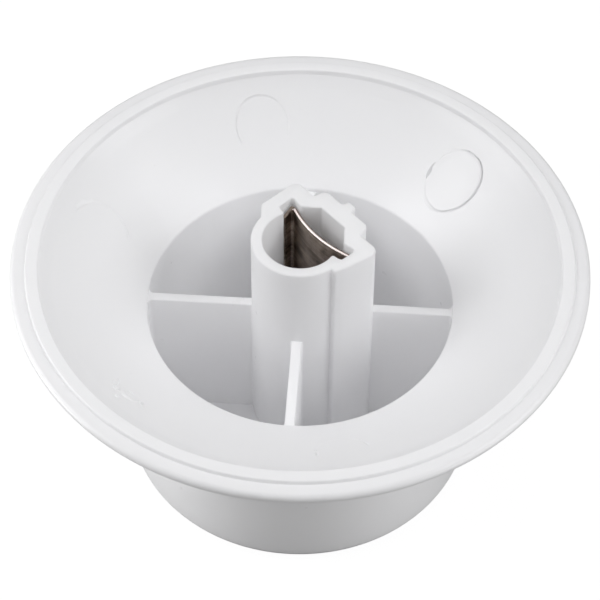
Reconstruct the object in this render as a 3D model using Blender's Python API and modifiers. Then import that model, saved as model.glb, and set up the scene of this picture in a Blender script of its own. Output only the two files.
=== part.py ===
"""Push-on control knob for a D-shaped control shaft.

Two physical pieces: a one-piece moulding (grip cup, flared skirt, bead rim,
socket stem and cross webs) and a bowed spring-steel leaf that stands in the
stem's slot and presses on the shaft's flat.

Frame: metres, origin at the centre of the flat front face, +Z along the
shaft axis towards the socket mouth. +X is the way the leaf moves when a
shaft pushes it back.
"""

import math

import bmesh
import bpy
from mathutils import Matrix, Vector

MM = 0.001

# ---- driving dimensions, millimetres -------------------------------------
SKIRT_R = 25.0            # outer radius of the skirt
RIM_TOP = 23.55           # back surface of the outermost rim band
RIM_EDGE_R = 0.46         # half the thickness of the fully rounded rim edge
BEAD_IN_R = 22.5          # foot of the bead, flare side
BEAD_OUT_R = 23.75        # foot of the bead, rim side
BEAD_TOP = 23.85          # flat top of the raised bead
FLARE_TOP = 23.30         # where the flare meets the bead
MOUTH_R = 13.57           # radius of the cup's mouth
MOUTH_Z = 17.40           # height of the cup's mouth
MOUTH_EDGE = 0.35         # rounding of the mouth's edge

CUP_FLOOR_R = 13.25       # inside radius of the cup at its floor
CUP_FLOOR_Z = 2.2         # thickness of the front wall
CUP_FILLET = 0.9          # inside corner between wall and floor
HUB_FRONT_R = 15.95       # outside radius of the grip at the front
HUB_BACK_R = 16.15        # outside radius of the grip under the skirt
HUB_BACK_Z = 16.0
HUB_EDGE = 1.3            # rounding of the front edge
SKIRT_ROOT = 1.1          # fillet between grip and skirt underside
UNDER_OUT_R = 24.3        # skirt underside, outer end
UNDER_OUT_Z = 22.55

STEM_TOP = 25.8           # socket mouth
BARREL_R = 4.25           # round side of the stem
BORE_R = 3.25             # 6.5 mm bore for a 6.35 mm (1/4 in) shaft
BORE_FLOOR_Z = 5.0
SLOT_FLOOR_Z = 9.2        # the leaf stands on this floor

WEB_T = 0.90              # thickness of the four webs
WEB_TOP = 17.0

LEAF_T = 0.30             # spring-steel strip
LEAF_HALF_W = 3.65        # half the chord of the bowed strip
LEAF_APEX_X = 1.75        # middle of the strip at its belly
LEAF_END_X = 2.38         # middle of the strip at its ends
LEAF_BOTTOM = 9.5
LEAF_TOP = 25.05
LEAF_TRAVEL = 0.30        # how far the belly gives when a shaft goes in
RUN_GAP = 0.06            # air left behind the strip at full travel

POINTER_W = 1.2           # moulded pointer line on the front face
POINTER_DEPTH = 0.35
POINTER_FROM = 5.0
POINTER_TO = 13.5

ROUND_STEPS = 72


# ---- helpers --------------------------------------------------------------
def clear_scene():
    for obj in list(bpy.data.objects):
        bpy.data.objects.remove(obj, do_unlink=True)
    for coll in list(bpy.data.collections):
        bpy.data.collections.remove(coll)


def new_collection(name):
    coll = bpy.data.collections.new(name)
    bpy.context.scene.collection.children.link(coll)
    return coll


def material(name, colour, roughness, metallic):
    mat = bpy.data.materials.new(name)
    mat.use_nodes = True
    bsdf = mat.node_tree.nodes["Principled BSDF"]
    bsdf.inputs["Base Color"].default_value = (*colour, 1.0)
    bsdf.inputs["Roughness"].default_value = roughness
    bsdf.inputs["Metallic"].default_value = metallic
    mat.diffuse_color = (*colour, 1.0)
    return mat


def arc(cx, cy, r, start_deg, end_deg, steps):
    """Points of an arc, both ends included."""
    return [
        (
            cx + r * math.cos(math.radians(start_deg + (end_deg - start_deg) * i / steps)),
            cy + r * math.sin(math.radians(start_deg + (end_deg - start_deg) * i / steps)),
        )
        for i in range(steps + 1)
    ]


def turned(name, profile, coll):
    """Solid of revolution from (radius, height) points in mm, axis to axis."""
    mesh = bpy.data.meshes.new(name + "_profile")
    points = [(r * MM, 0.0, z * MM) for r, z in profile]
    mesh.from_pydata(points, [(i, i + 1) for i in range(len(points) - 1)], [])
    obj = bpy.data.objects.new(name, mesh)
    coll.objects.link(obj)
    screw = obj.modifiers.new("Screw", "SCREW")
    screw.axis = "Z"
    screw.angle = math.tau
    screw.steps = ROUND_STEPS
    screw.render_steps = ROUND_STEPS
    screw.use_merge_vertices = True
    screw.merge_threshold = 0.00001
    return obj


def flat_outline(name, points, z0, z1, coll):
    """Closed outline in mm, filled and extruded from z0 to z1, as a mesh."""
    curve = bpy.data.curves.new(name + "_outline", "CURVE")
    curve.dimensions = "2D"
    curve.fill_mode = "BOTH"
    curve.extrude = (z1 - z0) / 2 * MM
    spline = curve.splines.new("POLY")
    spline.points.add(len(points) - 1)
    for point, (x, y) in zip(spline.points, points):
        point.co = (x * MM, y * MM, 0.0, 1.0)
    spline.use_cyclic_u = True
    guide = bpy.data.objects.new(name + "_curve", curve)
    coll.objects.link(guide)
    guide.location = (0.0, 0.0, (z0 + z1) / 2 * MM)
    bpy.context.view_layer.update()
    graph = bpy.context.evaluated_depsgraph_get()
    mesh = bpy.data.meshes.new_from_object(guide.evaluated_get(graph))
    made = bmesh.new()
    made.from_mesh(mesh)
    bmesh.ops.remove_doubles(made, verts=made.verts, dist=0.000001)
    bmesh.ops.recalc_face_normals(made, faces=made.faces)
    made.to_mesh(mesh)
    made.free()
    mesh.name = name
    obj = bpy.data.objects.new(name, mesh)
    coll.objects.link(obj)
    obj.matrix_world = guide.matrix_world
    bpy.data.objects.remove(guide, do_unlink=True)
    return obj


def box(name, size, centre, turn_deg, coll):
    """Box in mm, turned about Z, with its scale in the mesh."""
    made = bmesh.new()
    bmesh.ops.create_cube(
        made,
        size=1.0,
        matrix=Matrix.Diagonal(Vector((size[0] * MM, size[1] * MM, size[2] * MM, 1.0))),
    )
    mesh = bpy.data.meshes.new(name)
    made.to_mesh(mesh)
    made.free()
    obj = bpy.data.objects.new(name, mesh)
    coll.objects.link(obj)
    obj.location = [c * MM for c in centre]
    obj.rotation_euler = (0.0, 0.0, math.radians(turn_deg))
    return obj


def drum(name, r, z0, z1, steps, coll):
    """Plain cylinder in mm on the Z axis."""
    made = bmesh.new()
    bmesh.ops.create_cone(
        made,
        cap_ends=True,
        segments=steps,
        radius1=r * MM,
        radius2=r * MM,
        depth=(z1 - z0) * MM,
    )
    mesh = bpy.data.meshes.new(name)
    made.to_mesh(mesh)
    made.free()
    obj = bpy.data.objects.new(name, mesh)
    coll.objects.link(obj)
    obj.location = (0.0, 0.0, (z0 + z1) / 2 * MM)
    return obj


def boolean(target, other, operation):
    mod = target.modifiers.new(operation.title() + "_" + other.name, "BOOLEAN")
    mod.operation = operation
    mod.solver = "EXACT"
    mod.object = other
    other.hide_render = True
    other.display_type = "WIRE"


def smooth(obj, degrees=32.0):
    obj.data.shade_smooth()
    obj.data.set_sharp_from_angle(angle=math.radians(degrees))


# ---- outlines -------------------------------------------------------------
def knob_profile():
    """Cup, flare, bead, rim, skirt underside and grip, from axis to axis."""
    pts = [(0.0, CUP_FLOOR_Z)]
    # inside corner of the cup
    pts += arc(CUP_FLOOR_R - CUP_FILLET, CUP_FLOOR_Z + CUP_FILLET, CUP_FILLET, -90, 0, 4)
    # mouth, with its small rounding, then the straight flare
    slope = math.atan2(FLARE_TOP - MOUTH_Z, BEAD_IN_R - MOUTH_R)
    turn = math.degrees(slope)
    pts += arc(MOUTH_R + MOUTH_EDGE, MOUTH_Z - MOUTH_EDGE * 0.6, MOUTH_EDGE, 180, 90 + turn, 3)
    pts.append((BEAD_IN_R - 1.0, FLARE_TOP - 0.62 * 1.0 * math.tan(slope)))
    pts.append((BEAD_IN_R - 0.02, FLARE_TOP))
    # raised flat bead
    pts.append((BEAD_IN_R + 0.10, BEAD_TOP - 0.06))
    pts.append((BEAD_IN_R + 0.20, BEAD_TOP))
    pts.append((BEAD_OUT_R - 0.20, BEAD_TOP))
    pts.append((BEAD_OUT_R - 0.10, BEAD_TOP - 0.06))
    pts.append((BEAD_OUT_R, RIM_TOP))
    # fully rounded rim edge
    pts += arc(SKIRT_R - RIM_EDGE_R, RIM_TOP - RIM_EDGE_R, RIM_EDGE_R, 90, -90, 8)
    # skirt underside, root fillet and grip
    pts.append((UNDER_OUT_R, UNDER_OUT_Z))
    under = math.atan2(UNDER_OUT_Z - HUB_BACK_Z, UNDER_OUT_R - HUB_BACK_R)
    reach = SKIRT_ROOT * math.tan((math.pi / 2 - under) / 2)
    pts += [
        (
            HUB_BACK_R + SKIRT_ROOT + SKIRT_ROOT * math.cos(a),
            HUB_BACK_Z - reach + SKIRT_ROOT * math.sin(a),
        )
        for a in [
            math.pi / 2 + under + (math.pi / 2 - under) * i / 4 for i in range(5)
        ]
    ]
    pts += arc(HUB_FRONT_R - HUB_EDGE, HUB_EDGE, HUB_EDGE, 0, -90, 6)
    pts.append((0.0, 0.0))
    return pts


def stem_outline():
    """Round barrel on the -X side, with a housing block for the leaf on +X."""
    # +Y side of the block, from the centre rib round to the barrel
    pts = [
        (6.0, 0.45), (5.38, 0.55), (5.38, 2.45), (5.10, 2.80), (4.20, 2.95),
        (4.20, 4.85), (3.80, 5.28), (0.10, 5.25), (-0.90, 4.16),
    ]
    start = math.degrees(math.atan2(4.16, -0.90)) + 4
    end = 360 - math.degrees(math.atan2(4.24, -0.27)) - 4
    pts += arc(0.0, 0.0, BARREL_R, start, end, 26)
    # -Y side, a plain ear with a small step at its root
    pts += [
        (-0.27, -4.24), (-0.22, -4.66), (0.60, -4.98), (3.45, -5.42), (3.95, -5.28),
        (4.20, -4.85), (4.20, -2.95), (5.10, -2.80), (5.38, -2.45), (5.38, -0.55),
        (6.0, -0.45),
    ]
    return pts


def leaf_x(y):
    """Middle line of the bowed strip, as an arc through belly and ends."""
    sag = LEAF_END_X - LEAF_APEX_X
    radius = (LEAF_HALF_W ** 2 + sag ** 2) / (2 * sag)
    return LEAF_APEX_X + radius - math.sqrt(radius ** 2 - y ** 2)


def slot_outline():
    """Slot for the strip's ends, with the relief pocket behind its belly."""
    back = LEAF_END_X + LEAF_T / 2 + LEAF_TRAVEL + RUN_GAP
    end_y = LEAF_HALF_W + 0.45
    half = [
        (0.55, 3.05), (1.00, 3.75), (1.15, end_y), (back - 0.35, end_y), (back, end_y - 0.40),
        (back, 2.95), (back - 0.05, 2.45), (3.45, 1.80), (3.80, 1.55),
    ]
    mirrored = [(x, -y) for x, y in reversed(half)]
    return half + mirrored


def leaf_outline():
    """The bowed strip seen along Z, constant thickness."""
    sag = LEAF_END_X - LEAF_APEX_X
    radius = (LEAF_HALF_W ** 2 + sag ** 2) / (2 * sag)
    cx = LEAF_APEX_X + radius
    reach = math.degrees(math.asin(LEAF_HALF_W / radius))
    inner = arc(cx, 0.0, radius + LEAF_T / 2, 180 - reach, 180 + reach, 20)
    outer = arc(cx, 0.0, radius - LEAF_T / 2, 180 + reach, 180 - reach, 20)
    return inner + outer


# ---- build ----------------------------------------------------------------
def build():
    clear_scene()
    parts = new_collection("control_knob")
    cutters = new_collection("cutters")

    white = material("moulded_white", (0.80, 0.81, 0.83), 0.28, 0.0)
    steel = material("spring_steel", (0.42, 0.38, 0.34), 0.32, 1.0)

    knob = turned("knob_body", knob_profile(), parts)

    stem = flat_outline("stem_core", stem_outline(), CUP_FLOOR_Z - 0.8, STEM_TOP, cutters)
    boolean(knob, stem, "UNION")
    reach = 2 * (CUP_FLOOR_R + 0.9)
    for name, turn in (("webs_a", 45.0), ("webs_b", 135.0)):
        web = box(
            name,
            (reach, WEB_T, WEB_TOP - CUP_FLOOR_Z + 0.6),
            (0.0, 0.0, (WEB_TOP + CUP_FLOOR_Z - 0.6) / 2),
            turn,
            cutters,
        )
        boolean(knob, web, "UNION")

    bore = drum("bore_cutter", BORE_R, BORE_FLOOR_Z, STEM_TOP + 1.0, 64, cutters)
    boolean(knob, bore, "DIFFERENCE")
    slot = flat_outline("slot_cutter", slot_outline(), SLOT_FLOOR_Z, STEM_TOP + 1.0, cutters)
    boolean(knob, slot, "DIFFERENCE")

    pointer = box(
        "pointer_cutter",
        (POINTER_TO - POINTER_FROM, POINTER_W, 2 * POINTER_DEPTH),
        (-(POINTER_FROM + POINTER_TO) / 2, 0.0, 0.0),
        0.0,
        cutters,
    )
    boolean(knob, pointer, "DIFFERENCE")
    knob.data.materials.append(white)
    smooth(knob)

    leaf = flat_outline("spring_clip", leaf_outline(), LEAF_BOTTOM, LEAF_TOP, parts)
    leaf.data.materials.append(steel)
    smooth(leaf, 40.0)


build()
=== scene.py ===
"""Looks for the push-on control knob: a glossy white moulding with a bowed spring-steel leaf."""

import math

import bmesh
import bpy
from mathutils import Matrix, Vector, noise
from mathutils.geometry import tessellate_polygon


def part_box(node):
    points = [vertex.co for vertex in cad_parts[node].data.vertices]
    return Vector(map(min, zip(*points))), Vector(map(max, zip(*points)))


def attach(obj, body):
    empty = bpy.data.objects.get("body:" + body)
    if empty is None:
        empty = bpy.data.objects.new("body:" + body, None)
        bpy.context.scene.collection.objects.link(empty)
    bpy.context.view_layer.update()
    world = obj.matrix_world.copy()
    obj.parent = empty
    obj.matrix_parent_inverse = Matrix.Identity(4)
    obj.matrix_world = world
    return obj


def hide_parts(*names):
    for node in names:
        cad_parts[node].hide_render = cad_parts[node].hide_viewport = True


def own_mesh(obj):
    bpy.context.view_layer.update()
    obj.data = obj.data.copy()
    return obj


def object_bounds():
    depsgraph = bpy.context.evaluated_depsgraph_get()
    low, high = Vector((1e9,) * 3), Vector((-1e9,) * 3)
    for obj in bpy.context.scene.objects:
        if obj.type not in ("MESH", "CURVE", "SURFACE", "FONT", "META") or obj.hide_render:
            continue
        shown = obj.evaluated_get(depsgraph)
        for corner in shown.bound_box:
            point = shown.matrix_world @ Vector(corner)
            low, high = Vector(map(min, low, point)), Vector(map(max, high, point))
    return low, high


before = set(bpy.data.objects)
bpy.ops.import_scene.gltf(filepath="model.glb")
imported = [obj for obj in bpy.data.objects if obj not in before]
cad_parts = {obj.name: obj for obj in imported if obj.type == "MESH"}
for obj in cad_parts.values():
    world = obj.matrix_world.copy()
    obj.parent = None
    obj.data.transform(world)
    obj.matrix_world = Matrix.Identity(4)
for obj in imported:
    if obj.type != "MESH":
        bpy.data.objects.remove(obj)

MM = 0.001
cad_lo, cad_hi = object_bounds()
knob_lo, knob_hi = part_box("knob_body")
leaf_lo, leaf_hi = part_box("spring_clip")

# ---- sizes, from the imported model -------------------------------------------
SKIRT_R = (knob_hi.x - knob_lo.x) / 2 / MM
STEM_TOP = knob_hi.z / MM
LEAF_BOTTOM, LEAF_TOP = leaf_lo.z / MM, leaf_hi.z / MM
LEAF_BELLY, LEAF_BACK = leaf_lo.x / MM, leaf_hi.x / MM
LEAF_HALF_W = (leaf_hi.y - leaf_lo.y) / 2 / MM
LEAF_T = 0.30

RIM_TOP = 23.55
EDGE_R = 0.455
BEAD_TOP = 23.86
MOUTH_R, MOUTH_Z = 13.57, 17.40
FLOOR_R, FLOOR_Z = 13.25, 2.2
SLOPE = 0.668
WEB_T, WEB_TOP = 0.88, 17.0
BORE_R, BARREL_R = 3.25, 4.25
STEPS = 180


# ---- small geometry tools ---------------------------------------------------
def arc(cx, cy, r, start, end, steps):
    return [
        (
            cx + r * math.cos(math.radians(start + (end - start) * i / steps)),
            cy + r * math.sin(math.radians(start + (end - start) * i / steps)),
        )
        for i in range(steps + 1)
    ]


def rounded(points, closed, step_deg=12.0):
    """Polyline from (x, y, radius) corners, each corner turned into a tangent arc."""
    out = []
    n = len(points)
    for i, (x, y, rad) in enumerate(points):
        if rad <= 0 or (not closed and i in (0, n - 1)):
            out.append((x, y))
            continue
        here = Vector((x, y))
        a = Vector(points[i - 1][:2]) - here
        b = Vector(points[(i + 1) % n][:2]) - here
        la, lb = a.length, b.length
        a.normalize()
        b.normalize()
        half = math.acos(max(-1.0, min(1.0, a.dot(b)))) / 2
        if half > math.radians(89.2):
            out.append((x, y))
            continue
        reach = rad / math.tan(half)
        limit = 0.495 * min(la, lb)
        if reach > limit:
            reach = limit
            rad = reach * math.tan(half)
        centre = here + (a + b).normalized() * (rad / math.sin(half))
        p0, p1 = here + a * reach, here + b * reach
        t0 = math.atan2(p0.y - centre.y, p0.x - centre.x)
        t1 = math.atan2(p1.y - centre.y, p1.x - centre.x)
        turn = (t1 - t0 + math.pi) % math.tau - math.pi
        k = max(2, math.ceil(abs(math.degrees(turn)) / step_deg))
        for j in range(k + 1):
            t = t0 + turn * j / k
            out.append((centre.x + rad * math.cos(t), centre.y + rad * math.sin(t)))
    return out


def tidy(points, closed=True, least=0.004):
    """Drops points that sit on top of their neighbour."""
    out = []
    for p in points:
        if not out or math.dist(p, out[-1]) > least:
            out.append(p)
    if closed and math.dist(out[0], out[-1]) <= least:
        out.pop()
    return out


def area2(points):
    return sum(
        p[0] * q[1] - q[0] * p[1] for p, q in zip(points, points[1:] + points[:1])
    )


def grown(points, d):
    """Closed anticlockwise outline moved outward by d, mitred."""
    out = []
    n = len(points)
    for i in range(n):
        p0, p, p1 = Vector(points[i - 1]), Vector(points[i]), Vector(points[(i + 1) % n])
        e0, e1 = (p - p0).normalized(), (p1 - p).normalized()
        n0, n1 = Vector((e0.y, -e0.x)), Vector((e1.y, -e1.x))
        m = (n0 + n1) / max(0.25, 1 + n0.dot(n1))
        out.append((p.x + m.x * d, p.y + m.y * d))
    return out


def mesh_object(name, verts, faces, scale=MM):
    mesh = bpy.data.meshes.new(name)
    mesh.from_pydata([(x * scale, y * scale, z * scale) for x, y, z in verts], [], faces)
    mesh.validate()
    obj = bpy.data.objects.new(name, mesh)
    bpy.context.scene.collection.objects.link(obj)
    made = bmesh.new()
    made.from_mesh(mesh)
    bmesh.ops.recalc_face_normals(made, faces=made.faces)
    made.to_mesh(mesh)
    made.free()
    return obj


def stacked(name, outline, levels):
    """Closed solid through copies of one outline: levels are (z, outward offset)."""
    if area2(outline) < 0:
        outline = outline[::-1]
    n = len(outline)
    verts, faces = [], []
    for z, off in levels:
        verts += [(x, y, z) for x, y in (grown(outline, off) if off else outline)]
    for k in range(len(levels) - 1):
        for i in range(n):
            j = (i + 1) % n
            faces.append((k * n + i, k * n + j, (k + 1) * n + j, (k + 1) * n + i))
    for k, flip in ((0, True), (len(levels) - 1, False)):
        flat = [Vector((verts[k * n + i][0], verts[k * n + i][1], 0.0)) for i in range(n)]
        for tri in tessellate_polygon([flat]):
            face = tuple(k * n + i for i in tri)
            faces.append(face[::-1] if flip else face)
    return mesh_object(name, verts, faces)


def top_round(z0, z1, b, steps=4, draft=0.0):
    """Levels of a prism whose top edge is rounded by b."""
    levels = [(z0, draft)]
    for i in range(steps + 1):
        t = math.pi / 2 * i / steps
        levels.append((z1 - b + b * math.sin(t), -b * (1 - math.cos(t))))
    return levels


def revolved(name, profile, steps):
    verts, faces = [], []
    rings = []
    for r, z in profile:
        if r < 1e-6:
            rings.append([len(verts)])
            verts.append((0.0, 0.0, z))
        else:
            rings.append(list(range(len(verts), len(verts) + steps)))
            verts += [
                (r * math.cos(math.tau * i / steps), r * math.sin(math.tau * i / steps), z)
                for i in range(steps)
            ]
    for a, b in zip(rings, rings[1:]):
        for i in range(steps):
            j = (i + 1) % steps
            if len(a) == 1:
                faces.append((a[0], b[i], b[j]))
            elif len(b) == 1:
                faces.append((a[i], a[j], b[0]))
            else:
                faces.append((a[i], a[j], b[j], b[i]))
    return mesh_object(name, verts, faces)


def combine(target, others, operation):
    """Exact boolean, applied at once; the cutters go away."""
    for other in others:
        mod = target.modifiers.new("combine", "BOOLEAN")
        mod.operation = operation
        mod.solver = "EXACT"
        mod.object = other
        bpy.context.view_layer.update()
        graph = bpy.context.evaluated_depsgraph_get()
        mesh = bpy.data.meshes.new_from_object(target.evaluated_get(graph))
        target.modifiers.clear()
        target.data = mesh
        bpy.data.objects.remove(other, do_unlink=True)
    return target


def cone_z(r):
    return MOUTH_Z + (r - MOUTH_R) * SLOPE


# ---- outlines ---------------------------------------------------------------
def body_profile():
    corners = [
        (0.0, FLOOR_Z, 0),
        (6.0, FLOOR_Z, 0),
        (FLOOR_R, FLOOR_Z, 0.9),
        (MOUTH_R - 0.02, MOUTH_Z - 0.02, 0.34),
        (15.6, cone_z(15.6), 0),
        (18.4, cone_z(18.4), 0),
        (20.4, cone_z(20.4), 0),
        (21.4, cone_z(21.4) - 0.01, 2.6),
        (22.46, 23.42, 0.10),
        (22.58, BEAD_TOP, 0.15),
        (23.64, BEAD_TOP, 0.15),
        (23.74, RIM_TOP, 0.08),
        (SKIRT_R, RIM_TOP, EDGE_R),
        (SKIRT_R, RIM_TOP - 2 * EDGE_R - 0.01, EDGE_R),
        (24.30, 22.58, 0.3),
        (16.15, 16.00, 1.5),
        (16.05, 8.0, 0),
        (15.95, 0.0, 1.3),
        (6.0, 0.0, 0),
        (0.0, 0.0, 0),
    ]
    return tidy(rounded(corners, closed=False, step_deg=10.0), closed=False)


def stem_points():
    corners = [
        (6.02, 0.47, 0.30), (5.37, 0.60, 0.25), (5.37, 2.48, 0.42), (5.02, 2.84, 0.35),
        (4.16, 2.95, 0.28), (4.20, 4.80, 0.40), (3.72, 5.28, 0.40), (0.12, 5.25, 0.40),
        (-0.90, 4.16, 0.0),
    ]
    start = math.degrees(math.atan2(4.16, -0.90)) + 4
    end = 360 - math.degrees(math.atan2(4.24, -0.27)) - 1.5
    barrel = [(x, y, 0.0) for x, y in arc(0.0, 0.0, BARREL_R, start, end, 40)]
    rest = [
        (-0.22, -4.27, 0.16), (-0.20, -4.72, 0.20), (0.60, -4.96, 0.6), (3.48, -5.40, 0.40),
        (3.97, -5.22, 0.35), (4.20, -4.80, 0.40), (4.16, -2.95, 0.28), (5.02, -2.84, 0.35),
        (5.37, -2.48, 0.42), (5.37, -0.60, 0.25), (6.02, -0.47, 0.30),
    ]
    return tidy(rounded(corners + barrel + rest, closed=True))


def cavity_points():
    """Round bore joined to the leaf's slot and the relief pocket behind its belly."""
    half = [
        (1.00, 3.72, 0.20), (1.13, 4.02, 0.20), (2.52, 4.04, 0.18), (2.68, 3.80, 0.20),
        (2.47, 2.80, 0.18), (3.36, 1.84, 0.30), (3.74, 1.50, 0.25),
    ]
    ridge = math.degrees(math.acos(0.92 / BORE_R))
    bore = arc(0.0, 0.0, BORE_R, ridge, 360 - ridge, 56)
    lower = [(x, -y, r) for x, y, r in half]
    upper = list(reversed(half))
    corners = [(bore[0][0], bore[0][1], 0.22)]
    corners += [(x, y, 0.0) for x, y in bore[3:-3]]
    corners += [(bore[-1][0], bore[-1][1], 0.22)]
    corners += lower + upper
    return tidy(rounded(corners, closed=True))


def web_points(turn_deg, from_r, stem_fillet):
    """One web in plan, swelling where it runs into the cup wall and the round barrel."""
    h = WEB_T / 2
    wall = MOUTH_R - 0.12
    f = 0.30
    side = []
    if stem_fillet:
        # fillet against the barrel
        c = math.hypot(BARREL_R + f, 0)
        cx = math.sqrt(max(0.0, c * c - (h + f) ** 2))
        a0 = math.degrees(math.atan2(-(h + f), -cx))
        touch = (cx + f * math.cos(math.radians(a0)), h + f + f * math.sin(math.radians(a0)))
        side.append((from_r, touch[1]))
        side += arc(cx, h + f, f, a0, -90, 6)
    else:
        side.append((from_r, h))
    cx = math.sqrt((wall - f) ** 2 - (h + f) ** 2)
    a1 = math.degrees(math.atan2(h + f, cx))
    side += arc(cx, h + f, f, -90, a1, 6)
    side.append((wall + 0.55, side[-1][1] + 0.02))
    pts = side + [(x, -y) for x, y in reversed(side)]
    c, s = math.cos(math.radians(turn_deg)), math.sin(math.radians(turn_deg))
    return tidy([(x * c - y * s, x * s + y * c) for x, y in pts])


# ---- marks on the flare -----------------------------------------------------
def puck(name, angle_deg, rc, radius, height, low, high=None, squeeze=1.0):
    """A disc following the flare: its working face is the flare plus height(u, v, rho)."""
    ca, sa = math.cos(math.radians(angle_deg)), math.sin(math.radians(angle_deg))
    shares = (0.0, 0.25, 0.45, 0.6, 0.72, 0.80, 0.86, 0.91, 0.95, 0.98, 1.0)
    m = 96
    verts, faces = [], []
    rows = []
    for share in shares:
        row = []
        for i in range(m if share else 1):
            t = math.tau * i / m
            wob = 1.0 + 0.012 * noise.noise(Vector((math.cos(t) * 2.3, math.sin(t) * 2.3, angle_deg)))
            u, v = radius * share * wob * math.cos(t), radius * squeeze * share * wob * math.sin(t)
            x, y = (rc + u) * ca - v * sa, (rc + u) * sa + v * ca
            row.append(len(verts))
            verts.append((x, y, cone_z(math.hypot(x, y)) + height(u, v, share, t)))
        rows.append(row)
    edge = rows[-1]
    other = []
    for i in range(m):
        x, y, _ = verts[edge[i]]
        other.append(len(verts))
        verts.append((x, y, cone_z(math.hypot(x, y)) + low))
    for k in range(len(rows) - 1):
        a, b = rows[k], rows[k + 1]
        for i in range(m):
            j = (i + 1) % m
            if len(a) == 1:
                faces.append((a[0], b[i], b[j]))
            else:
                faces.append((a[i], b[i], b[j], a[j]))
    for i in range(m):
        j = (i + 1) % m
        faces.append((edge[i], other[i], other[j], edge[j]))
    centre = len(verts)
    verts.append((rc * ca, rc * sa, cone_z(rc) + low))
    for i in range(m):
        faces.append((other[i], centre, other[(i + 1) % m]))
    return mesh_object(name, verts, faces)


def ring(name, angle_deg, rc, radius, section, depth):
    """A round-bottomed witness line about a mark: depth is in mm, for an angle seen from the camera's side."""
    ca, sa = math.cos(math.radians(angle_deg)), math.sin(math.radians(angle_deg))
    m, n = 160, 10
    verts, faces = [], []
    for i in range(m):
        plan = 360.0 * i / m
        t = math.radians(plan - 41.5 - angle_deg)
        lift = section - depth(plan)
        for k in range(n):
            a = math.tau * k / n
            reach = radius + section * math.cos(a)
            u, v = reach * math.cos(t), reach * math.sin(t)
            x, y = (rc + u) * ca - v * sa, (rc + u) * sa + v * ca
            verts.append((x, y, cone_z(math.hypot(x, y)) + lift + section * math.sin(a)))
    for i in range(m):
        j = (i + 1) % m
        for k in range(n):
            q = (k + 1) % n
            faces.append((i * n + k, j * n + k, j * n + q, i * n + q))
    return mesh_object(name, verts, faces)


def blob(name, angle_deg, r, turn_deg, size, seed):
    """A small irregular lump of plastic sitting on the flare."""
    made = bmesh.new()
    bmesh.ops.create_icosphere(made, subdivisions=3, radius=1.0)
    for v in made.verts:
        n = noise.noise(v.co * 1.3 + Vector((seed * 3.1, seed * 1.7, seed * 0.9)))
        v.co *= 1.0 + 0.35 * n
        v.co.x *= size[0]
        v.co.y *= size[1]
        v.co.z *= size[2]
    tilt = -math.atan(SLOPE)
    place = (
        Matrix.Rotation(math.radians(angle_deg), 4, "Z")
        @ Matrix.Translation((r, 0.0, cone_z(r)))
        @ Matrix.Rotation(tilt, 4, "Y")
        @ Matrix.Rotation(math.radians(turn_deg), 4, "Z")
    )
    made.transform(place)
    made.transform(Matrix.Scale(MM, 4))
    mesh = bpy.data.meshes.new(name)
    made.to_mesh(mesh)
    made.free()
    obj = bpy.data.objects.new(name, mesh)
    bpy.context.scene.collection.objects.link(obj)
    return obj


def smoothstep(a, b, x):
    t = max(0.0, min(1.0, (x - a) / (b - a)))
    return t * t * (3 - 2 * t)


# ---- the moulding -----------------------------------------------------------
knob = revolved("knob_moulding", body_profile(), STEPS)

solids = [
    stacked("stem", stem_points(), top_round(FLOOR_Z - 0.7, STEM_TOP, 0.17, 4, draft=0.08)),
]
for turn, from_r, fillet in ((45, 5.2, False), (-45, 5.2, False), (135, 3.7, True), (-135, 3.7, True)):
    solids.append(
        stacked(
            "web",
            web_points(turn, from_r, fillet),
            top_round(FLOOR_Z - 0.6, WEB_TOP, 0.14, 3, draft=0.07),
        )
    )
knob = combine(knob, solids, "UNION")

b = 0.15
mouth = [(9.2, 0.0), (STEM_TOP - b, 0.0)]
for i in range(1, 5):
    t = math.pi / 2 * i / 4
    mouth.append((STEM_TOP - b + b * math.sin(t), b * (1 - math.cos(t))))
mouth.append((STEM_TOP + 1.0, b))
bore = stacked("bore", arc(0, 0, BORE_R - 0.03, 0, 360, 90)[:-1], [(5.0, -0.5), (5.5, 0.0), (9.6, 0.0)])
socket = stacked("socket", cavity_points(), mouth)
knob = combine(knob, [bore, socket], "DIFFERENCE")

# moulded pointer groove on the front face, with rounded ends
groove = tidy(arc(-12.9, 0.0, 0.6, 90, 270, 12) + arc(-5.6, 0.0, 0.6, -90, 90, 12))
pointer = stacked("pointer", groove, [(-0.5, 0.12), (0.0, 0.08), (0.12, 0.0), (0.35, -0.08)])
knob = combine(knob, [pointer], "DIFFERENCE")

# ejector-pin marks: one proud disc with a witness line, one sunk, two faint
def around_mark(table):
    """Periodic function of an angle in degrees, through (angle, value) pairs, eased between them."""
    table = sorted((a % 360.0, v) for a, v in table)

    def value(angle):
        angle %= 360.0
        for k in range(len(table)):
            a0, v0 = table[k]
            a1, v1 = table[(k + 1) % len(table)]
            span = (a1 - a0) % 360.0 or 360.0
            along = (angle - a0) % 360.0
            if along <= span:
                return v0 + (v1 - v0) * smoothstep(0.0, 1.0, along / span)
        return table[0][1]

    return value


def proud(u, v, share, t):
    lip = 0.060 * smoothstep(0.78, 0.93, share) - 0.09 * smoothstep(0.965, 1.0, share)
    return 0.070 + 0.020 * u / 2.5 + lip * (0.6 + 0.4 * math.cos(t))


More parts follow.
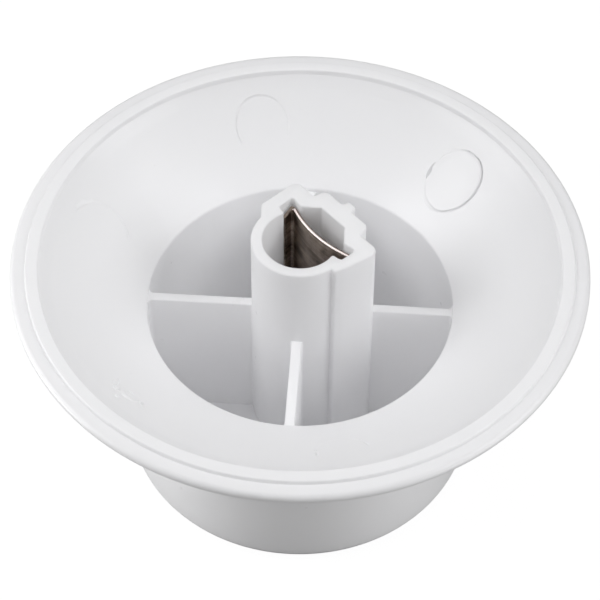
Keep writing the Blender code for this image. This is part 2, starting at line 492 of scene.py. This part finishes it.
marks_up = [puck("mark_a", 358.7, 18.15, 2.5, proud, -0.8)]
marks_down = [
    puck("mark_b", 59.8, 18.6, 2.42, lambda u, v, s, t: -max(0.010, 0.045 + 0.025 * u / 2.4 + 0.020 * v / 2.4), 0.6),
    puck("mark_c", 121.3, 18.6, 2.3, lambda u, v, s, t: -0.022 - 0.012 * u / 2.3, 0.6),
    puck("mark_d", 239.3, 19.0, 2.2, lambda u, v, s, t: -0.016, 0.6),
    ring(
        "line_a", 358.7, 18.15, 2.56, 0.16,
        around_mark([
            (0, 0.27), (-30, 0.23), (-60, 0.26), (-95, 0.22), (-122, 0.26), (-150, 0.10), (-170, 0.03),
            (158, -0.04), (146, 0.18), (134, 0.24), (122, -0.02), (110, 0.05), (78, 0.05), (66, 0.12),
            (52, 0.30), (34, 0.30), (22, 0.27),
        ]),
    ),
    ring(
        "line_b", 59.8, 18.6, 2.44, 0.12,
        around_mark([
            (226, -0.04), (214, 0.18), (190, 0.19), (160, 0.16), (130, 0.19), (95, 0.17), (70, 0.10), (50, 0.05),
            (15, 0.07), (-10, 0.05), (-25, -0.04),
        ]),
    ),
    ring(
        "line_c", 121.3, 18.6, 2.3, 0.26,
        around_mark([(180, -0.03), (165, 0.08), (145, 0.12), (110, 0.06), (80, 0.07), (45, 0.07), (10, 0.08), (-15, -0.03)]),
    ),
    ring(
        "line_d", 239.3, 19.0, 2.2, 0.12,
        around_mark([(206, -0.04), (196, 0.16), (178, 0.20), (166, -0.04), (62, -0.04), (50, 0.06), (25, 0.10), (4, -0.04)]),
    ),
]
knob = combine(knob, marks_up, "UNION")
knob = combine(knob, marks_down, "DIFFERENCE")

# rough gate scar
scar = [
    blob("scar1", 176.9, 19.45, 35, (0.62, 0.24, 0.15), 1),
    blob("scar2", 178.6, 19.95, 80, (0.40, 0.30, 0.14), 5),
    blob("scar3", 180.6, 19.70, 55, (0.62, 0.26, 0.16), 2),
    blob("scar4", 182.9, 19.80, 100, (0.60, 0.24, 0.14), 3),
    blob("scar5", 185.1, 19.35, 20, (0.30, 0.20, 0.11), 4),
]
pits = [
    blob("pit1", 186.2, 19.28, 20, (0.22, 0.20, 0.30), 7),
    blob("pit2", 181.7, 20.60, 10, (0.20, 0.17, 0.16), 8),
    blob("pit3", 181.9, 18.98, 110, (0.42, 0.10, 0.12), 9),
    blob("pit4", 6.5, 17.62, 8, (0.62, 0.17, 0.34), 10),
    blob("pit5", 0.2, 20.68, 100, (0.34, 0.13, 0.30), 11),
]
knob = combine(knob, scar, "UNION")
knob = combine(knob, pits, "DIFFERENCE")

made = bmesh.new()
made.from_mesh(knob.data)
bmesh.ops.remove_doubles(made, verts=made.verts, dist=2e-7)
bmesh.ops.dissolve_degenerate(made, edges=made.edges, dist=2e-7)
made.to_mesh(knob.data)
made.free()
knob.data.shade_smooth()
knob.data.set_sharp_from_angle(angle=math.radians(24))

# ---- the leaf ---------------------------------------------------------------
belly = LEAF_BELLY + LEAF_T / 2
ends = LEAF_BACK - LEAF_T / 2 + 0.01
sag = ends - belly
half_w = LEAF_HALF_W - 0.02
big = (half_w ** 2 + sag ** 2) / (2 * sag)
reach = math.degrees(math.asin(half_w / big))
inner = arc(belly + big, 0.0, big + LEAF_T / 2, 180 - reach, 180 + reach, 40)
outer = arc(belly + big, 0.0, big - LEAF_T / 2, 180 + reach, 180 - reach, 40)
corner = 0.06
# it stands a little to one side of its slot, and its far end is folded back towards the shaft: the folded tab is a
# dark steel piece filling the shadowed gap at the slot's end, painted shade built as geometry
inner = [p for p in inner if p[1] < 3.60]
strip = [(x, y - 0.20, 0.0) for x, y in inner] + [(x, y - 0.20, 0.0) for x, y in outer]
fold_standing_in_for_shade = [(2.42, 3.90, 0.20), (1.26, 3.76, corner), (1.26, 3.48, corner), (2.08, 3.58, 0.10)]
for k in (len(inner) - 1, len(inner)):
    strip[k] = (*strip[k][:2], corner)
strip += fold_standing_in_for_shade
levels = []
e = 0.045
for i in range(4):
    t = math.pi / 2 * i / 3
    levels.append((LEAF_BOTTOM + e - e * math.cos(t), -e * (1 - math.sin(t))))
for k in range(1, 12):
    levels.append((LEAF_BOTTOM + e + (LEAF_TOP - LEAF_BOTTOM - 2 * e) * k / 12, 0.0))
for i in range(4):
    t = math.pi / 2 * i / 3
    levels.append((LEAF_TOP - e + e * math.sin(t), -e * (1 - math.cos(t))))
leaf = stacked("spring_leaf", tidy(rounded(strip, closed=True, step_deg=30)), levels)
for v in leaf.data.vertices:
    # the folded end sits lower than the rest
    back = smoothstep(2.30, 1.55, v.co.x / MM) if v.co.y > 3.43 * MM else 0.0
    v.co.z = min(v.co.z, (LEAF_TOP - 0.50 * back) * MM)
leaf.data.shade_smooth()
leaf.data.set_sharp_from_angle(angle=math.radians(40))


# ---- materials --------------------------------------------------------------
def new_material(name):
    mat = bpy.data.materials.new(name)
    mat.use_nodes = True
    tree = mat.node_tree
    return mat, tree, tree.nodes["Principled BSDF"]


def node(tree, kind, **values):
    made_node = tree.nodes.new(kind)
    for key, value in values.items():
        if key in made_node.inputs:
            made_node.inputs[key].default_value = value
        else:
            setattr(made_node, key, value)
    return made_node


def white_plastic():
    mat, tree, bsdf = new_material("gloss_white_moulding")
    link = tree.links.new
    bsdf.inputs["Metallic"].default_value = 0.0
    bsdf.inputs["IOR"].default_value = 1.50
    bsdf.inputs["Subsurface Weight"].default_value = 0.35
    bsdf.inputs["Subsurface Radius"].default_value = (1.0, 1.0, 1.0)
    bsdf.inputs["Subsurface Scale"].default_value = 0.005
    where = node(tree, "ShaderNodeTexCoord")
    # soft cloudiness of the resin
    cloud = node(tree, "ShaderNodeTexNoise", Scale=110.0, Detail=3.0, Roughness=0.55)
    link(where.outputs["Object"], cloud.inputs["Vector"])
    tint = node(tree, "ShaderNodeValToRGB")
    tint.color_ramp.elements[0].position = 0.30
    tint.color_ramp.elements[0].color = (0.948, 0.946, 0.962, 1)
    tint.color_ramp.elements[1].position = 0.72
    tint.color_ramp.elements[1].color = (0.966, 0.964, 0.976, 1)
    link(cloud.outputs["Fac"], tint.inputs["Fac"])
    link(tint.outputs["Color"], bsdf.inputs["Base Color"])
    # polish varies a little
    haze = node(tree, "ShaderNodeTexNoise", Scale=420.0, Detail=4.0, Roughness=0.6)
    link(where.outputs["Object"], haze.inputs["Vector"])
    rough = node(tree, "ShaderNodeMapRange")
    rough.inputs["To Min"].default_value = 0.24
    rough.inputs["To Max"].default_value = 0.36
    link(haze.outputs["Fac"], rough.inputs["Value"])
    link(rough.outputs["Result"], bsdf.inputs["Roughness"])
    # faint surface ripple of a moulded skin
    ripple = node(tree, "ShaderNodeTexNoise", Scale=260.0, Detail=2.0, Roughness=0.5)
    link(where.outputs["Object"], ripple.inputs["Vector"])
    grain = node(tree, "ShaderNodeTexNoise", Scale=2600.0, Detail=2.0, Roughness=0.6)
    link(where.outputs["Object"], grain.inputs["Vector"])
    mix = node(tree, "ShaderNodeMath", operation="MULTIPLY_ADD")
    mix.inputs[1].default_value = 0.10
    link(grain.outputs["Fac"], mix.inputs[0])
    link(ripple.outputs["Fac"], mix.inputs[2])
    bump = node(tree, "ShaderNodeBump", Strength=0.10, Distance=0.00012)
    link(mix.outputs["Value"], bump.inputs["Height"])
    link(bump.outputs["Normal"], bsdf.inputs["Normal"])
    return mat


def spring_steel(name, dark, light, rough_lo, rough_hi, streak):
    mat, tree, bsdf = new_material(name)
    link = tree.links.new
    bsdf.inputs["Metallic"].default_value = 1.0
    where = node(tree, "ShaderNodeTexCoord")
    # rolling lines run along the strip's width
    stretch = node(tree, "ShaderNodeMapping")
    stretch.inputs["Scale"].default_value = (260.0, 190.0, 5200.0)
    link(where.outputs["Object"], stretch.inputs["Vector"])
    lines = node(tree, "ShaderNodeTexNoise", Scale=1.0, Detail=4.0, Roughness=0.6)
    link(stretch.outputs["Vector"], lines.inputs["Vector"])
    stains = node(tree, "ShaderNodeTexNoise", Scale=520.0, Detail=5.0, Roughness=0.62)
    link(where.outputs["Object"], stains.inputs["Vector"])
    both = node(tree, "ShaderNodeMath", operation="MULTIPLY_ADD")
    both.inputs[1].default_value = streak
    link(lines.outputs["Fac"], both.inputs[0])
    link(stains.outputs["Fac"], both.inputs[2])
    ramp = node(tree, "ShaderNodeValToRGB")
    ramp.color_ramp.elements[0].position = 0.42 + streak * 0.4
    ramp.color_ramp.elements[0].color = (*dark, 1)
    ramp.color_ramp.elements[1].position = 0.62 + streak * 0.6
    ramp.color_ramp.elements[1].color = (*light, 1)
    link(both.outputs["Value"], ramp.inputs["Fac"])
    link(ramp.outputs["Color"], bsdf.inputs["Base Color"])
    rough = node(tree, "ShaderNodeMapRange")
    rough.inputs["To Min"].default_value = rough_lo
    rough.inputs["To Max"].default_value = rough_hi
    link(stains.outputs["Fac"], rough.inputs["Value"])
    link(rough.outputs["Result"], bsdf.inputs["Roughness"])
    bump = node(tree, "ShaderNodeBump", Strength=0.22, Distance=0.00004)
    link(lines.outputs["Fac"], bump.inputs["Height"])
    link(bump.outputs["Normal"], bsdf.inputs["Normal"])
    return mat


def sheared_edge_with_painted_shade(centre, face_r):
    """Top edge of the strip: bright bare steel on its front side, with a dark brown back half that is painted shade
    for the shadowed gap behind the strip.
    """
    mat = spring_steel("spring_steel_edge_painted_shade", (0.80, 0.70, 0.66), (0.95, 0.88, 0.84), 0.20, 0.34, 0.3)
    tree = mat.node_tree
    bsdf = tree.nodes["Principled BSDF"]
    link = tree.links.new
    bright = bsdf.inputs["Base Color"].links[0].from_socket
    where = node(tree, "ShaderNodeTexCoord")
    from_centre = node(tree, "ShaderNodeVectorMath", operation="SUBTRACT")
    from_centre.inputs[1].default_value = (centre[0] * MM, centre[1] * MM, 0.0)
    link(where.outputs["Object"], from_centre.inputs[0])
    flat = node(tree, "ShaderNodeVectorMath", operation="MULTIPLY")
    flat.inputs[1].default_value = (1.0, 1.0, 0.0)
    link(from_centre.outputs["Vector"], flat.inputs[0])
    far = node(tree, "ShaderNodeVectorMath", operation="LENGTH")
    link(flat.outputs["Vector"], far.inputs[0])
    share = node(tree, "ShaderNodeMapRange")
    share.inputs["From Min"].default_value = (face_r - 0.19) * MM
    share.inputs["From Max"].default_value = (face_r - 0.13) * MM
    link(far.outputs["Value"], share.inputs["Value"])
    mix = tree.nodes.new("ShaderNodeMix")
    mix.data_type = "RGBA"
    painted_shade_socket = [k for k in mix.inputs if k.name == "A" and k.type == "RGBA"][0]
    b_socket = [k for k in mix.inputs if k.name == "B" and k.type == "RGBA"][0]
    # painted shade: this dark brown on the edge's back half stands for the shadowed gap behind the strip
    painted_shade_socket.default_value = (0.22, 0.16, 0.14, 1)
    link(share.outputs["Result"], mix.inputs["Factor"])
    link(bright, b_socket)
    link([k for k in mix.outputs if k.type == "RGBA"][0], bsdf.inputs["Base Color"])
    return mat


white = white_plastic()
steel = spring_steel("spring_steel_skin", (0.125, 0.094, 0.074), (0.43, 0.35, 0.29), 0.26, 0.46, 0.5)
# the cut edge's material, which paints shade on the back half of the edge
edge = sheared_edge_with_painted_shade((belly + big, -0.20), big + LEAF_T / 2)

knob.data.materials.clear()
knob.data.materials.append(white)
leaf.data.materials.clear()
leaf.data.materials.append(steel)
leaf.data.materials.append(edge)
# the top faces get the edge material, whose back half carries painted shade
for face in leaf.data.polygons:
    high = sum(leaf.data.vertices[i].co.z for i in face.vertices) / len(face.vertices)
    end = max(leaf.data.vertices[i].co.y for i in face.vertices)
    face.material_index = 1 if high > (LEAF_TOP - e * 0.8) * MM and end < 3.70 * MM else 0

# ---- hooking on to the frame ------------------------------------------------
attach(knob, "knob")
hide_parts("knob_body")
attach(leaf, "clip")
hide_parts("spring_clip")
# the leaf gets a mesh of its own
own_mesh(leaf)

# ---- floor ------------------------------------------------------------------
floor = mesh_object(
    "floor", [(-2, -2, 0), (2, -2, 0), (2, 2, 0), (-2, 2, 0)], [(0, 1, 2, 3)], scale=1.0
)
floor.location.z = cad_lo.z - 0.00002
mat, tree, bsdf = new_material("pale_floor")
bsdf.inputs["Base Color"].default_value = (0.06, 0.06, 0.06, 1)
bsdf.inputs["Roughness"].default_value = 0.6
paper = tree.nodes.new("ShaderNodeEmission")
paper.inputs["Color"].default_value = (1, 1, 1, 1)
paper.inputs["Strength"].default_value = 0.95
seen = tree.nodes.new("ShaderNodeLightPath")
add = tree.nodes.new("ShaderNodeAddShader")
pick = tree.nodes.new("ShaderNodeMixShader")
tree.links.new(bsdf.outputs["BSDF"], add.inputs[0])
tree.links.new(paper.outputs["Emission"], add.inputs[1])
tree.links.new(seen.outputs["Is Camera Ray"], pick.inputs["Fac"])
tree.links.new(bsdf.outputs["BSDF"], pick.inputs[1])
tree.links.new(add.outputs["Shader"], pick.inputs[2])
tree.links.new(pick.outputs["Shader"], tree.nodes["Material Output"].inputs["Surface"])
floor.data.materials.append(mat)

# ---- camera -----------------------------------------------------------------
TURN = math.radians(41.5)
PITCH = 0.8844246
ROLL = -0.0072897
UNIT = 0.025
c, s = math.cos(PITCH), math.sin(PITCH)


def to_part(x, y, z):
    """From the picture's own axes (right, away, up) to the part's."""
    return Vector(
        (
            x * math.cos(TURN) + y * math.sin(TURN),
            -x * math.sin(TURN) + y * math.cos(TURN),
            z,
        )
    )


right, up, ahead = to_part(1, 0, 0), to_part(0, s, c), to_part(0, c, -s)
place = right * 0.00028 - up * 0.148547 - ahead * 6.907749
place = place * UNIT + Vector((0, 0, 0.0234))
cam_right = right * math.cos(ROLL) - up * math.sin(ROLL)
cam_up = right * math.sin(ROLL) + up * math.cos(ROLL)
cam_data = bpy.data.cameras.new("camera")
cam_data.sensor_width = 36.0
cam_data.lens = 120.0
cam_data.clip_start, cam_data.clip_end = 0.005, 20.0
camera = bpy.data.objects.new("camera", cam_data)
bpy.context.scene.collection.objects.link(camera)
camera.matrix_world = Matrix.Translation(place) @ Matrix(
    (
        (cam_right.x, cam_up.x, -ahead.x),
        (cam_right.y, cam_up.y, -ahead.y),
        (cam_right.z, cam_up.z, -ahead.z),
    )
).to_4x4()
bpy.context.scene.camera = camera


# ---- light ------------------------------------------------------------------
def softbox(name, at, size, radiance, colour=(1, 1, 1), target=(0, 0, 0.012)):
    data = bpy.data.lights.new(name, "AREA")
    data.shape = "RECTANGLE"
    data.size, data.size_y = size
    data.energy = radiance * math.pi * size[0] * size[1]
    data.color = colour
    obj = bpy.data.objects.new(name, data)
    bpy.context.scene.collection.objects.link(obj)
    obj.location = to_part(*at)
    obj.rotation_mode = "QUATERNION"
    obj.rotation_quaternion = (Vector(target) - obj.location).to_track_quat("-Z", "Y")
    return obj


def around(az, el, d=0.62):
    a, e = math.radians(az), math.radians(el)
    return (d * math.cos(a) * math.cos(e), d * math.sin(a) * math.cos(e), 0.012 + d * math.sin(e))


softbox("left", around(-178, 38), (0.4, 0.34), 4.2, (0.985, 0.99, 1.0))
softbox("right", around(-14, 38), (0.4, 0.34), 4, (0.985, 0.99, 1.0))
softbox("back", around(90, 57), (0.3, 0.24), 1.5, (1.0, 1.0, 1.0))
softbox("top", around(0, 89), (0.34, 0.34), 0.7, (1.0, 1.0, 1.0))
for name, az, glow in (("card_left", 188, 14), ("card_right", -38, 6)):
    a = math.radians(az)
    card = softbox(name, (0.1 * math.cos(a), 0.1 * math.sin(a), 0.0105), (0.06, 0.018), glow, (1.0, 1.0, 1.0), (0, 0, 0.008))
    card.visible_camera = False

# a pale dome overhead that falls off towards a dim horizon
world = bpy.data.worlds.new("studio")
bpy.context.scene.world = world
world.use_nodes = True
wt = world.node_tree
background = wt.nodes["Background"]
background.inputs["Strength"].default_value = 1.0
facing = wt.nodes.new("ShaderNodeTexCoord")
split = wt.nodes.new("ShaderNodeSeparateXYZ")
wt.links.new(facing.outputs["Generated"], split.inputs[0])
sky = wt.nodes.new("ShaderNodeValToRGB")
sky.color_ramp.interpolation = "EASE"
sky.color_ramp.elements[0].position = 0.75
sky.color_ramp.elements[0].color = (0.1, 0.097, 0.094, 1)
sky.color_ramp.elements[1].position = 0.98
sky.color_ramp.elements[1].color = (0.588, 0.591, 0.606, 1)
wt.links.new(split.outputs["Z"], sky.inputs["Fac"])
wt.links.new(sky.outputs["Color"], background.inputs["Color"])
# a white backdrop behind it all, which lights nothing
backdrop = wt.nodes.new("ShaderNodeBackground")
backdrop.inputs["Color"].default_value = (1, 1, 1, 1)
looked_at = wt.nodes.new("ShaderNodeLightPath")
choose = wt.nodes.new("ShaderNodeMixShader")
wt.links.new(looked_at.outputs["Is Camera Ray"], choose.inputs["Fac"])
wt.links.new(background.outputs["Background"], choose.inputs[1])
wt.links.new(backdrop.outputs["Background"], choose.inputs[2])
wt.links.new(choose.outputs["Shader"], wt.nodes["World Output"].inputs["Surface"])

scene = bpy.context.scene
scene.view_settings.view_transform = "Standard"
scene.view_settings.gamma = 1.2
